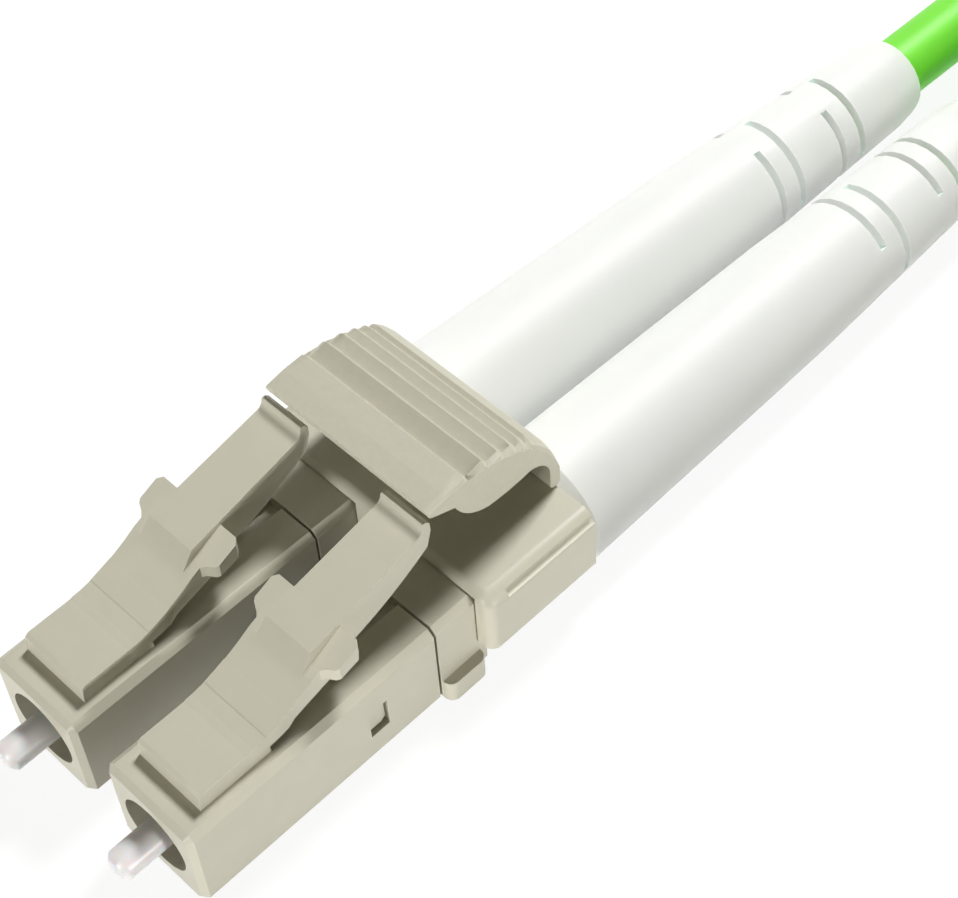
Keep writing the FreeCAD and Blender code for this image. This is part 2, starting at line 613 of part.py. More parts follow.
def export(shape, name):
    solid = shape.Solids[0] if len(shape.Solids) == 1 else shape
    placed = solid.copy()
    placed.translate(DROP)
    if not placed.isValid() or len(placed.Solids) != 1:
        print("CHECK", name, placed.isValid(), len(placed.Solids))
    placed.exportStep("parts/" + name + ".step")


def far_plug(cx):
    """Housing and rear body of the far connector as one plain piece, with room for its ferrule."""
    full_end = REAR_Y + COLLAR_REAR_LEN
    body = square_bar(cx, SQUARE, 0, full_end, CORNER)
    body = body.fuse(block(cx, ROOT_W, ROOT_Y, LATCH_PIVOT_Y - 0.12, 0, ROOT_TOP))
    body = body.cut(cross_rod(cx, ROOT_W + 1, KNUCKLE_R + KNUCKLE_GAP, LATCH_PIVOT_Y, LATCH_PIVOT_Z))
    body = body.fuse(block(cx, NECK, full_end - 0.5, CLIP_END, -NECK / 2, NECK / 2))
    body = body.fuse(skinned(cx, [(CLIP_END - 0.5, SPIGOT_R), (SPIGOT_END, SPIGOT_R)], 12))
    body = body.cut(rod(cx, NOSE_BORE_R, -1, NOSE_BORE_DEPTH))
    return body.cut(rod(cx, FERRULE_D / 2 + FERRULE_SLIDE, 0, FERRULE_END + FLOAT + FIT))


def near_connector():
    sides = (("_a", -PITCH / 2, LEAN_A, SLOT_STARTS_A), ("_b", PITCH / 2, 0.0, SLOT_STARTS_B))
    for tag, cx, lean, starts in sides:
        export(front_housing(cx), "front_housing" + tag)
        export(latch(cx), "latch" + tag)
        export(ferrule(cx), "ferrule" + tag)
        export(ferrule_flange(cx), "ferrule_flange" + tag)
        export(spring(cx), "spring" + tag)
        export(rear_body(cx), "rear_body" + tag)
        export(inner_tube(cx), "inner_tube" + tag)
        export(fibre(cx), "fibre" + tag)
        export(crimp_sleeve(cx), "crimp_sleeve" + tag)
        export(boot(cx, lean, starts), "boot" + tag)
    export(duplex_clip(), "duplex_clip")
    export(trigger(), "trigger")


def far_connector():
    """The same connector, plainer inside, lying on the hank and pointing the same way as the near one."""
    for tag, cx in (("_a", -PITCH / 2), ("_b", PITCH / 2)):
        export(far(far_plug(cx)), "far_plug" + tag)
        export(far(latch(cx)), "far_latch" + tag)
        export(far(rod(cx, FERRULE_D / 2, TIP, FERRULE_END)), "far_ferrule" + tag)
        export(far(boot_blank(cx, FAR_BOOT_SIDES)), "far_boot" + tag)
    export(far(duplex_clip(plain=True)), "far_duplex_clip")
    export(far(trigger(plain=True)), "far_trigger")


def far(shape):
    moved = shape.copy()
    moved.translate(V(FAR_X, FAR_BOOT_END_Y - BOOT_END, FAR_LIFT))
    return moved


near_connector()
far_connector()
export(cable_tube("cable_a", lead_a()), "cable_a")
export(cable_tube("cable_b", lead_b()), "cable_b")
export(hank(0), "hank_a")
export(hank(1), "hank_b")
export(hank_tie(), "hank_tie")
export(cable_tube("tail_a", tail(-1, 0, FAR_BOOT_END_Y + TAIL_TURN_A)), "tail_a")
export(cable_tube("tail_b", tail(1, 1, FAR_BOOT_END_Y + TAIL_TURN_B)), "tail_b")
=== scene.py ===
import json
import math

import bmesh
import bpy
from bpy.props import FloatProperty, FloatVectorProperty, IntProperty, PointerProperty
from mathutils import Euler, Matrix, Vector


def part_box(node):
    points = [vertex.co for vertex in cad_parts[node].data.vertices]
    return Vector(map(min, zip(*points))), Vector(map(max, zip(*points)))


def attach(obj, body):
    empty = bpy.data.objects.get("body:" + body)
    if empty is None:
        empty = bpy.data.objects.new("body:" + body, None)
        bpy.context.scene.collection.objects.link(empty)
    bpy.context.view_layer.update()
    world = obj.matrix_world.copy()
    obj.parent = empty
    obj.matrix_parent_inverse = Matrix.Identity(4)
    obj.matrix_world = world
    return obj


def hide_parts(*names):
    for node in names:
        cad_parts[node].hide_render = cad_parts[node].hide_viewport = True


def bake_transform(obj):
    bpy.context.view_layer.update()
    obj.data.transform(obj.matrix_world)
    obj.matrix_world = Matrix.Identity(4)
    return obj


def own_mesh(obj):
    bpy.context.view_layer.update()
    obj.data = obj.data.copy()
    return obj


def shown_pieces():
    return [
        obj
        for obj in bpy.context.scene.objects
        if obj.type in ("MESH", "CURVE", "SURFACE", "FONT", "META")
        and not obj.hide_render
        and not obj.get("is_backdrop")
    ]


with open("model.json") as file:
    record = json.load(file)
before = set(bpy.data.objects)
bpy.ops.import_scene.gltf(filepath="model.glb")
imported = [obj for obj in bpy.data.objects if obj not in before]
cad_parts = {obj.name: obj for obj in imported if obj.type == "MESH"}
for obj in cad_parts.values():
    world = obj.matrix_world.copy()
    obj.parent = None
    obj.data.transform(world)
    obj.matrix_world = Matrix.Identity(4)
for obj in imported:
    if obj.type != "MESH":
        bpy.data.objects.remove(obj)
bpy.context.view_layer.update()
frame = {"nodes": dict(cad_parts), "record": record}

bl_info = {
    "name": "Duplex Fibre Connector",
    "version": (1, 0, 0),
    "blender": (4, 5, 0),
    "location": "3D View > Sidebar > Connector",
    "description": "Finishes a duplex LC fibre connector and its coiled patch cord",
    "category": "Object",
}

MM = 0.001
BODIES = frame["record"]["behaviour"]["bodies"]
BODY_OF = {node: body for body, nodes in BODIES.items() for node in nodes}
SIDES = ("_a", "_b")
CONNECTORS = ("", "far_")

# Lengths are in millimetres. Places are given from the near connector's front middle, which lies
# between the two ferrules' axes in the plane of the housings' front faces, and this is where the
# frame has that point.
FRONT_MIDDLE = Vector((0.0, -22.285, 2.8))
PITCH = 6.25                            # between the two plugs


def row(x, y, z):
    """A place given in millimetres from the front middle, in the frame's metres."""
    return (Vector((x, y, z)) + FRONT_MIDDLE) * MM


def front_of(low, high):
    """The middle of a box's front end, in millimetres from the front middle."""
    return ((low[0] + high[0]) / 2 / MM, low[1] / MM - FRONT_MIDDLE.y,
            (low[2] + high[2]) / 2 / MM - FRONT_MIDDLE.z)


# ---- finishes ------------------------------------------------------------------------------------
def finish(name, colour, roughness, **sockets):
    """A principled material, made once; further sockets are named with underscores for spaces."""
    material = bpy.data.materials.get(name)
    if material:
        return material
    material = bpy.data.materials.new(name)
    material.use_nodes = True
    shader = material.node_tree.nodes["Principled BSDF"]
    shader.inputs["Base Color"].default_value = (*colour, 1.0)
    shader.inputs["Roughness"].default_value = roughness
    for socket, value in sockets.items():
        shader.inputs[socket.replace("_", " ")].default_value = value
    return material


def grain(material, scale, depth, detail=3.0, stretch=(1.0, 1.0, 1.0)):
    """Fine surface relief from noise on the piece's own coordinates, its depth in metres."""
    nodes, links = material.node_tree.nodes, material.node_tree.links
    if "Grain" in nodes:
        return material
    place = nodes.new("ShaderNodeTexCoord")
    turn = nodes.new("ShaderNodeMapping")
    turn.inputs["Scale"].default_value = stretch
    noise = nodes.new("ShaderNodeTexNoise")
    noise.name = "Grain"
    noise.inputs["Scale"].default_value = scale
    noise.inputs["Detail"].default_value = detail
    bump = nodes.new("ShaderNodeBump")
    bump.inputs["Strength"].default_value = 1.0
    bump.inputs["Distance"].default_value = depth
    links.new(place.outputs["Object"], turn.inputs["Vector"])
    links.new(turn.outputs["Vector"], noise.inputs["Vector"])
    links.new(noise.outputs["Fac"], bump.inputs["Height"])
    links.new(bump.outputs["Normal"], nodes["Principled BSDF"].inputs["Normal"])
    return material


def mottle(material, colour, other, scale):
    """The base colour drifts slightly between two tones over the piece."""
    nodes, links = material.node_tree.nodes, material.node_tree.links
    if "Mottle" in nodes:
        return
    place = nodes.new("ShaderNodeTexCoord")
    noise = nodes.new("ShaderNodeTexNoise")
    noise.name = "Mottle"
    noise.inputs["Scale"].default_value = scale
    noise.inputs["Detail"].default_value = 4.0
    mix = nodes.new("ShaderNodeMix")
    mix.data_type = "RGBA"
    mix.inputs["A"].default_value = (*colour, 1.0)
    mix.inputs["B"].default_value = (*other, 1.0)
    links.new(place.outputs["Object"], noise.inputs["Vector"])
    links.new(noise.outputs["Fac"], mix.inputs["Factor"])
    links.new(mix.outputs["Result"], nodes["Principled BSDF"].inputs["Base Color"])


def darker(colour, share):
    return [c * share for c in colour]


def housing_plastic():
    colour = bpy.context.scene.connector_finish.housing
    material = finish("Housing plastic", colour, roughness=0.42, Specular_IOR_Level=0.45)
    mottle(material, colour, darker(colour, 0.93), scale=900.0)
    return grain(material, scale=9000.0, depth=0.000004)


def trigger_plastic():
    colour = bpy.context.scene.connector_finish.housing
    material = finish("Trigger plastic", colour, roughness=0.5, Specular_IOR_Level=0.4)
    mottle(material, colour, darker(colour, 0.9), scale=2500.0)
    return grain(material, scale=5200.0, depth=0.000014, detail=5.0)


def boot_rubber():
    colour = bpy.context.scene.connector_finish.boot
    material = finish("Boot rubber", colour, roughness=0.5, Specular_IOR_Level=0.35,
                      Subsurface_Weight=0.35, Subsurface_Radius=(1.0, 1.0, 0.95),
                      Subsurface_Scale=0.0006)
    mottle(material, colour, darker(colour, 0.985), scale=700.0)
    return grain(material, scale=6000.0, depth=0.000002)


def slot_painted_light():
    """The boots' relief slots in a pale mint lighter than the boot: painted light for the cable's
    green showing through the thin floor, which also lifts the slots' shade.
    """
    material = finish("Slot painted light", (0.82, 0.97, 0.9), roughness=0.5, Specular_IOR_Level=0.3)
    return grain(material, scale=6000.0, depth=0.000002)


def cable_jacket():
    colour = bpy.context.scene.connector_finish.cable
    material = finish("Cable jacket", colour, roughness=0.45, Specular_IOR_Level=0.4,
                      Subsurface_Weight=0.1, Subsurface_Scale=0.0004)
    mottle(material, colour, darker(colour, 0.9), scale=500.0)
    return grain(material, scale=4000.0, depth=0.000004)


def zirconia():
    material = finish("Zirconia", (0.74, 0.73, 0.74), roughness=0.38, Subsurface_Weight=0.5,
                      Subsurface_Scale=0.0004, Coat_Weight=0.1, Coat_Roughness=0.25)
    return grain(material, scale=8000.0, depth=0.000001)


def plated_brass():
    material = finish("Plated flange", (0.62, 0.6, 0.56), roughness=0.28, Metallic=1.0)
    return grain(material, scale=7000.0, depth=0.000002, detail=2.0, stretch=(1.0, 8.0, 1.0))


def spring_wire():
    material = finish("Spring wire", (0.55, 0.55, 0.54), roughness=0.25, Metallic=1.0)
    return grain(material, scale=6000.0, depth=0.000002, detail=2.0)


def crimped_metal():
    material = finish("Crimp tube", (0.6, 0.57, 0.5), roughness=0.35, Metallic=1.0)
    return grain(material, scale=3000.0, depth=0.000006, detail=2.0, stretch=(1.0, 0.2, 1.0))


def guide_plastic():
    material = finish("Guide tube", (0.8, 0.8, 0.78), roughness=0.4)
    return grain(material, scale=6000.0, depth=0.000002)


def fibre_buffer():
    material = finish("Buffered fibre", (0.85, 0.85, 0.82), roughness=0.35)
    return grain(material, scale=6000.0, depth=0.000001)


def strap_fabric():
    black, worn = (0.02, 0.02, 0.022), (0.05, 0.05, 0.052)
    material = finish("Strap", black, roughness=0.9)
    mottle(material, black, worn, scale=3000.0)
    return grain(material, scale=2600.0, depth=0.00006, detail=6.0)


# ---- making and softening pieces -----------------------------------------------------------------
MERGE = 2e-7                            # metres within which a shell's loose corners are one
FLAT = 0.4                              # degrees within which neighbouring triangles are one flat
SHARP = 34.0                            # degrees from which an edge is softened and stays an edge
TREAD_SHARP = 20.0                      # the same for the trigger, with its low treads
BOOT_SHARP = 30.0
COIL_SHARP = 60.0                       # a spring's path is in chords, which aren't edges
NEW_SHARP = 40.0                        # the same for the shapes that are made here
LATCH_EDGE, CLIP_EDGE = 1.6, 1.2        # times the moulded edge that the sizes give
BOOT_EDGE, STRAP_EDGE = 0.04, 0.15
METAL_EDGE, PLASTIC_EDGE = 0.03, 0.02


def mesh_from(bm, name):
    """A new mesh from a finished bmesh, which is freed."""
    mesh = bpy.data.meshes.new(name)
    bm.to_mesh(mesh)
    bm.free()
    return mesh


def smooth_by_angle(mesh, degrees):
    for face in mesh.polygons:
        face.use_smooth = True
    mesh.set_sharp_from_angle(angle=math.radians(degrees))


def linked(name, mesh, finish_of):
    """A new object for a finished mesh or curve, with its material."""
    piece = bpy.data.objects.new(name, mesh)
    bpy.context.scene.collection.objects.link(piece)
    mesh.materials.append(finish_of())
    return piece


def place_piece(name, mesh, body, finish_of, slot, *replaced):
    """A piece that rides on its body and stands for the nodes it covers."""
    piece = linked(name, mesh, finish_of)
    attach(piece, body)
    if replaced:
        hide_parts(*replaced)
    return piece


def softened(node, finish_of, slot, edge, segments=2, sharp=SHARP, join=True):
    """A copy of a node's shell with softened edges, which stands for the node.

    Its triangles are joined into flats first, unless the piece needs them as they are.
    """
    bm = bmesh.new()
    bm.from_mesh(frame["nodes"][node].data)
    bmesh.ops.remove_doubles(bm, verts=bm.verts, dist=MERGE)
    if join:
        bmesh.ops.dissolve_limit(bm, angle_limit=math.radians(FLAT), verts=bm.verts, edges=bm.edges)
    mesh = mesh_from(bm, node + "_shell")
    smooth_by_angle(mesh, sharp)
    piece = place_piece(node + "_shell", mesh, BODY_OF[node], finish_of, slot, node)
    if edge > 0:
        bevel = piece.modifiers.new("Soft edges", "BEVEL")
        bevel.width = edge * MM
        bevel.segments = segments
        bevel.limit_method = "ANGLE"
        bevel.angle_limit = math.radians(sharp)
        bevel.miter_outer = "MITER_ARC"
        flats = piece.modifiers.new("Flats", "WEIGHTED_NORMAL")
        flats.keep_sharp = True
    return piece


# ---- the skins over the hinges of the latches ----------------------------------------------------
SKIN_WIDTH = 3.23                       # where a skin lies flush with its latch
LATCH_BOTTOM = 2.62                     # underside of a near latch
# (distance behind the latch's foot, top, bottom, how far it stands out); heights as on a near one
SKIN_STATIONS = ((-0.95, 3.1, 2.5, -0.03), (-0.75, 3.1, 2.5, 0.012), (-0.4, 3.1, 2.55, 0.016),
                 (0.0, 3.16, 2.6, 0.018), (0.33, 3.28, 2.62, 0.018), (0.7, 3.4, 2.66, 0.018),
                 (1.1, 3.56, 2.74, 0.014), (1.4, 3.69, 2.84, -0.03))


def hinge_skin(name, prefix, side):
    """The moulding's unbroken surface over a hinge: a closed strap."""
    latch = prefix + "latch" + side
    low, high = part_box(latch)
    cx, foot, _ = front_of(low, high)
    lift = low[2] / MM - FRONT_MIDDLE.z - LATCH_BOTTOM
    bm = bmesh.new()
    loops = []
    for y, top, bottom, out in SKIN_STATIONS:
        x, z0, z1 = SKIN_WIDTH / 2 + out, bottom - out + lift, top + out + lift
        corners = [bm.verts.new(row(cx + a, foot + y, b))
                   for a, b in ((-x, z0), (x, z0), (x, z1), (-x, z1))]
        loops.append([bm.edges.new(pair) for pair in zip(corners, corners[1:] + corners[:1])])
    for one, two in zip(loops, loops[1:]):
        bmesh.ops.bridge_loops(bm, edges=one + two)
    bmesh.ops.holes_fill(bm, edges=loops[0] + loops[-1], sides=4)
    bmesh.ops.recalc_face_normals(bm, faces=bm.faces)
    mesh = mesh_from(bm, name)
    smooth_by_angle(mesh, NEW_SHARP)
    piece = linked(name, mesh, housing_plastic)
    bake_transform(piece)


# ---- the ferrules' ceramic -----------------------------------------------------------------------
FERRULE_R = 0.625
FERRULE_STEPS = 64
# (distance behind the tip, radius) of the polished dome
FERRULE_DOME = ((0.0, 0.0), (0.004, 0.2), (0.012, 0.34), (0.03, 0.40), (0.06, 0.435))
# (distance behind the tip, how far inside the full radius) of the chamfer
FERRULE_CHAMFER = ((0.2, 0.03), (0.25, 0.008), (0.32, 0.0))
FERRULE_BACK = 0.05                     # the back end's small chamfer


def turned(name, outline, steps, centre):
    """A solid of revolution: (y, radius) points spun once round a line along Y."""
    bm = bmesh.new()
    points = [bm.verts.new(row(centre[0] + r, y + centre[1], centre[2])) for y, r in outline]
    edges = [bm.edges.new(pair) for pair in zip(points, points[1:])]
    bmesh.ops.spin(bm, geom=points + edges, cent=row(*centre), axis=(0, 1, 0), angle=2 * math.pi,
                   steps=steps, use_merge=True)
    bmesh.ops.remove_doubles(bm, verts=bm.verts, dist=MERGE)
    bmesh.ops.recalc_face_normals(bm, faces=bm.faces)
    mesh = mesh_from(bm, name)
    smooth_by_angle(mesh, NEW_SHARP)
    return mesh


def ceramic(node):
    """A ferrule from its polished tip to its back end, in the place of its node."""
    low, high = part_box(node)
    length = (high[1] - low[1]) / MM
    chamfer = [(y, FERRULE_R - less) for y, less in FERRULE_CHAMFER]
    back = [(length - FERRULE_BACK, FERRULE_R), (length, FERRULE_R - FERRULE_BACK), (length, 0.0)]
    mesh = turned(node + "_ceramic", [*FERRULE_DOME, *chamfer, *back], FERRULE_STEPS,
                  front_of(low, high))
    place_piece(node + "_ceramic", mesh, BODY_OF[node], zirconia, "zirconia", node)


# ---- settings ------------------------------------------------------------------------------------
class ConnectorFinish(bpy.types.PropertyGroup):
    """Colours of the mouldings and the cord."""
    housing: FloatVectorProperty(
        name="Housing", description="Colour of the plugs, latches, clip and trigger",
        subtype="COLOR", size=3, default=(0.56, 0.54, 0.44), min=0, max=1)
    boot: FloatVectorProperty(
        name="Boots", description="Colour of the strain-relief boots",
        subtype="COLOR", size=3, default=(0.77, 0.78, 0.765), min=0, max=1)
    cable: FloatVectorProperty(
        name="Cable", description="Colour of the cable jackets",
        subtype="COLOR", size=3, default=(0.22, 0.85, 0.05), min=0, max=1)


class ConnectorSizes(bpy.types.PropertyGroup):
    """Edge softness and the cord's lay."""
    edge: FloatProperty(
        name="Moulded edge", description="Softening of moulded edges, in millimetres",
        default=0.05, min=0.0, max=0.2)
    cable: FloatProperty(
        name="Cable diameter", description="Outside diameter of one jacket, in millimetres",
        default=2.8, min=1.6, max=3.0)
    bend: FloatProperty(
        name="Inner bend", description="Radius of the hank's inner turn, in millimetres",
        default=8.4, min=5.6, max=20.0)
    turn_points: IntProperty(
        name="Points a half turn", description="Control points in one half turn of the hank",
        default=8, min=6, max=16)


class ConnectorStage(bpy.types.PropertyGroup):
    """Light and lens."""
    fill: FloatProperty(
        name="Fill", description="Strength of the light from round the horizon",
        default=0.1, min=0.0, max=3.0)
    top: FloatProperty(
        name="Top", description="Strength of the even light from above",
        default=0.06, min=0.0, max=3.0)
    key: FloatProperty(
        name="Key", description="Power of the soft lamp above and behind",
        subtype="POWER", default=1.75, min=0.0, max=10.0)
    side: FloatProperty(
        name="Side", description="Power of the low lamp at plug B's side",
        subtype="POWER", default=0.8, min=0.0, max=10.0)
    front: FloatProperty(
        name="Front", description="Power of the low lamp in front",
        subtype="POWER", default=1.1, min=0.0, max=10.0)
    boot: FloatProperty(
        name="Boot fill", description="Power of each of the two lamps that light only the boots",
        subtype="POWER", default=0.7, min=0.0, max=10.0)
    lens: FloatProperty(
        name="Lens", description="Focal length, in millimetres",
        default=88.0, min=20.0, max=200.0)


# ---- operators -----------------------------------------------------------------------------------
class CONNECTOR_OT_plugs(bpy.types.Operator):
    """Front housings and rear bodies of both connectors"""
    bl_idname = "connector.plugs"
    bl_label = "Plug Bodies"

    def execute(self, context):
        edge = context.scene.connector_sizes.edge
        for side in SIDES:
            for node in ("front_housing", "rear_body", "far_plug"):
                softened(node + side, housing_plastic, "housing_plastic", edge)
        return {"FINISHED"}


class CONNECTOR_OT_latches(bpy.types.Operator):
    """Sprung latches on top of the plugs"""
    bl_idname = "connector.latches"
    bl_label = "Latches"

    def execute(self, context):
        edge = context.scene.connector_sizes.edge
        for prefix in CONNECTORS:
            for side in SIDES:
                softened(prefix + "latch" + side, housing_plastic, "housing_plastic",
                         LATCH_EDGE * edge, segments=3)
                hinge_skin(prefix + "hinge" + side, prefix, side)
        return {"FINISHED"}


class CONNECTOR_OT_clip(bpy.types.Operator):
    """Duplex clip and the trigger hinged to it"""
    bl_idname = "connector.clip"
    bl_label = "Clip and Trigger"

    def execute(self, context):
        edge = CLIP_EDGE * context.scene.connector_sizes.edge
        for prefix in CONNECTORS:
            softened(prefix + "duplex_clip", housing_plastic, "housing_plastic", edge, segments=3)
            softened(prefix + "trigger", trigger_plastic, "housing_plastic", edge,
                     sharp=TREAD_SHARP)
        return {"FINISHED"}


class CONNECTOR_OT_ferrules(bpy.types.Operator):
    """Ceramic ferrules with polished tips, and what carries them inside"""
    bl_idname = "connector.ferrules"
    bl_label = "Ferrules and Inner Pieces"

    def execute(self, context):
        for side in SIDES:
            softened("ferrule_flange" + side, plated_brass, "plated_flange", METAL_EDGE)
            self.spring(side)
            softened("inner_tube" + side, guide_plastic, "guide_tube", PLASTIC_EDGE, segments=1)
            softened("fibre" + side, fibre_buffer, "buffered_fibre", PLASTIC_EDGE, segments=1)
            softened("crimp_sleeve" + side, crimped_metal, "crimp_metal", METAL_EDGE)
        for prefix in CONNECTORS:
            for side in SIDES:
                ceramic(prefix + "ferrule" + side)
        return {"FINISHED"}

    def spring(self, side):
        """The coil, given a mesh of its own."""
        piece = softened("spring" + side, spring_wire, "spring_steel", METAL_EDGE, segments=1,
                         sharp=COIL_SHARP)
        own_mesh(piece)


BOOT_START, BOOT_END = 19.12, 46.4      # of a near boot
# how far behind a boot's start its taper steepens, the radius there, and its loss in a millimetre
BOOT_BREAK, BOOT_BREAK_R, BOOT_SLOPE = 14.5, 2.52, 0.0449
LEAN_A = 2.4                            # degrees that boot A leans towards boot B
SLOTS_START, SLOTS_END = 17.5, 23.7     # the stretch of a boot that has the slots
BORE_R = 1.7                            # what lies nearer to the axis is the boot's inside
SLOT_RIM = 0.09                         # depth under the skin at which a slot's painted light starts


class CONNECTOR_OT_boots(bpy.types.Operator):
    """Tapered strain-relief boots"""
    bl_idname = "connector.boots"
    bl_label = "Boots"

    def execute(self, context):
        for prefix in CONNECTORS:
            for side in SIDES:
                piece = softened(prefix + "boot" + side, boot_rubber, "boot_rubber", BOOT_EDGE,
                                 sharp=BOOT_SHARP)
                if not prefix:
                    self.paint_slot_light(piece, side)
        return {"FINISHED"}

    def paint_slot_light(self, piece, side):
        """Slot floors and walls, found by their distance from the boot's axis, take the slots'
        painted light: a pale mint that lifts their shade.
        """
        foot = row(-PITCH / 2 if side == "_a" else PITCH / 2, BOOT_START, 0.0)
        lean = math.radians(LEAN_A) if side == "_a" else 0.0
        ahead = Vector((math.sin(lean), math.cos(lean), 0.0))
        # painted light: the slots get a pale mint brighter than the boot, against the shade they
        # lie in and for the cable's green behind
        piece.data.materials.append(slot_painted_light())
        for face in piece.data.polygons:
            away = face.center - foot
            y = away.dot(ahead) / MM
            r = (away - ahead * away.dot(ahead)).length / MM
            skin = BOOT_BREAK_R - (y - BOOT_BREAK) * BOOT_SLOPE
            if SLOTS_START < y < SLOTS_END and BORE_R < r < skin - SLOT_RIM:
                face.material_index = 1


# ---- the cord ------------------------------------------------------------------------------------
HANK_Y, HANK_RUN = 80.0, 45.0           # middle of the hank's near turns, and its straight length
CLIMB_TURN = 4.0                        # the near turn that climbs lies this much further on
CLIMB_START, CLIMB_SPAN = 0.15, 0.7     # share of a half turn before a climb, and that it takes
FLOOR_LAYER = -0.8                      # height of the lowest layer's middle
LEAD_A = ((-3.125, 24.25, 0), (-3.125, 27.25, 0), (-2.554, 32.75, 0), (-2.149, 42.4, 0),
          (-1.93, 49.8, 0), (-1.8, 58.4, 0), (-12.6, 71.6, FLOOR_LAYER))
LEAD_B = ((3.125, 24.25, 0), (3.125, 34.25, -0.1), (3.125, 45.0, 0.05), (3.125, 55.5, 0.2),
          (-1.2, 61.0, 5.0), (-12.3, 72.4, FLOOR_LAYER + 5.75))
CABLE_START = LEAD_A[0][1]              # in a near boot, and as deep in a far one
FAR_X, FAR_LIFT = 6.0, 12.5             # the far connector's middle axis
FAR_BOOT_END = 133.0                    # where the far boots end, with their ferrules towards -Y
TAIL_X = -14.0                          # the tails go along the hank's outer run on this side
TAIL_FROM, TAIL_PAST = 20.0, 5.0        # from within the hank's straight run to past its end
TAIL_TURN_A, TAIL_TURN_B = 2.0, 5.5     # past the far boots' ends, where a tail's half turn starts
TAIL_STEP = 45.0                        # degrees between the points of that half turn
TAIL_IN_BOOT, TAIL_RISE = 9.0, 0.05     # a point in the far boot, a trace above the axis


def half_turn(centre_y, radii, heights, way, count):
    """Control points of a half turn, whose radius and height drift from one run to the next.

    The way is 1 at the far end of the hank and -1 at the near end.
    """
    (r0, r1), (z0, z1) = radii, heights
    step = math.pi / count
    points = []
    for i in range(count):
        u = (i + 0.5) / count
        angle = math.pi * u
        climb = min(max((u - CLIMB_START) / CLIMB_SPAN, 0.0), 1.0)
        climb = climb * climb * (3 - 2 * climb)
        r = (r0 + (r1 - r0) * u) / math.cos(step / 2)
        points.append((-way * r * math.cos(angle), centre_y + way * r * math.sin(angle),
                       z0 + (z1 - z0) * climb))
    return points


def hank_turns(z, bend, d, count):
    """Five laps: in on the lower layer, out on the upper one, each a diameter from the next."""
    inner, middle, outer, upper = bend, bend + d, bend + 2 * d, z + d
    laps = (((outer, middle), (z, z)), ((middle, inner), (z, z)), ((inner, inner), (z, upper)),
            ((inner, middle), (upper, upper)), ((middle, outer), (upper, upper)))
    points = []
    for (r0, r1), (z0, z1) in laps:
        near_y = HANK_Y + (CLIMB_TURN if z1 > z0 else 0.0)
        points += half_turn(HANK_Y + HANK_RUN, (r0, r0), (z0, z0), 1, count)
        points += half_turn(near_y, (r0, r1), (z0, z1), -1, count)
    return points


def tail_points(side, level, turn, d):
    """Out of the hank, round a half turn and into one boot of the far connector."""
    x0, z0 = TAIL_X, FLOOR_LAYER + d + 2 * d * level
    x1, z1 = FAR_X + side * PITCH / 2, FAR_LIFT
    chord = math.hypot(x1 - x0, z1 - z0)
    ux, uz = (x1 - x0) / chord, (z1 - z0) / chord
    radius = chord / 2
    reach = radius / math.cos(math.radians(TAIL_STEP / 2))
    points = [(x0, HANK_Y + TAIL_FROM, z0), (x0, HANK_Y + HANK_RUN + TAIL_PAST, z0)]
    for i in range(round(180 / TAIL_STEP)):
        angle = math.radians(180 - TAIL_STEP / 2 - TAIL_STEP * i)
        s = radius + reach * math.cos(angle)
        points.append((x0 + ux * s, FAR_BOOT_END + turn + reach * math.sin(angle), z0 + uz * s))
    return points + [(x1, FAR_BOOT_END - TAIL_IN_BOOT, z1 + TAIL_RISE),
                     (x1, FAR_BOOT_END - (BOOT_END - CABLE_START), z1)]


def cord_curve(name, points, diameter):
    """A round tube along a smooth line that the points steer."""
    curve = bpy.data.curves.new(name, "CURVE")
    curve.dimensions = "3D"
    curve.bevel_depth = diameter / 2 * MM
    curve.bevel_resolution = 6
    curve.use_fill_caps = True
    spline = curve.splines.new("NURBS")
    spline.points.add(len(points) - 1)
    for control, point in zip(spline.points, points):
        control.co = (*row(*point), 1.0)
    spline.order_u = 3
    spline.use_endpoint_u = True
    spline.resolution_u = 6
    return curve


class CONNECTOR_OT_cords(bpy.types.Operator):
    """Two cables from the near boots, wound in a hank and on to the far connector"""
    bl_idname = "connector.cords"
    bl_label = "Cords and Tie"

    def execute(self, context):
        sizes = context.scene.connector_sizes
        # name, lead, pair of layers, side of the far connector, tail's turn, ending of the nodes
        cords = (("cord_a", LEAD_A, 0, -1, TAIL_TURN_A, "_a"),
                 ("cord_b", LEAD_B, 1, 1, TAIL_TURN_B, "_b"))
        for name, lead, level, side, turn, tag in cords:
            hank = hank_turns(FLOOR_LAYER + 2 * sizes.cable * level, sizes.bend, sizes.cable,
                              sizes.turn_points)
            tail = tail_points(side, level, turn, sizes.cable)
            piece = place_piece(name, cord_curve(name, [*lead, *hank, *tail], sizes.cable),
                                "plug_body", cable_jacket, "cable_jacket", "cable" + tag,
                                "hank" + tag, "tail" + tag)
        softened("hank_tie", strap_fabric, "tie_strap", STRAP_EDGE, join=False)
        return {"FINISHED"}

    def exit_of(self, lead):
        """Where a lead leaves its boot, on the straight run between the two points about it."""
        for one, two in zip(lead, lead[1:]):
            if one[1] <= BOOT_END <= two[1]:
                share = (BOOT_END - one[1]) / (two[1] - one[1])
                return row(one[0] + share * (two[0] - one[0]), BOOT_END, 0)


# ---- the stage -----------------------------------------------------------------------------------
FLOOR_HALF = 2.0                        # metres from the middle to an edge
FLOOR_DROP = 0.00002                    # metres under the boots, so that no faces coincide
FLOOR_GLOW = 1.07                       # brightness of the bare floor as it is seen
GLOW_SHARE = 0.85                       # the rest of what is seen is lit, and takes the shadow
FILL_END, TOP_START = 0.1, 0.7          # heights, as sines, below which Fill and above which Top
WARM, WHITE = (1.0, 0.9, 0.5, 1.0), (1.0, 1.0, 1.0, 1.0)
CAMERA_AT = (41.2355, -17.1058, 71.7261)
CAMERA_TURN = (37.7158, 2.8727, 45.0354)    # degrees about X, then Y, then Z


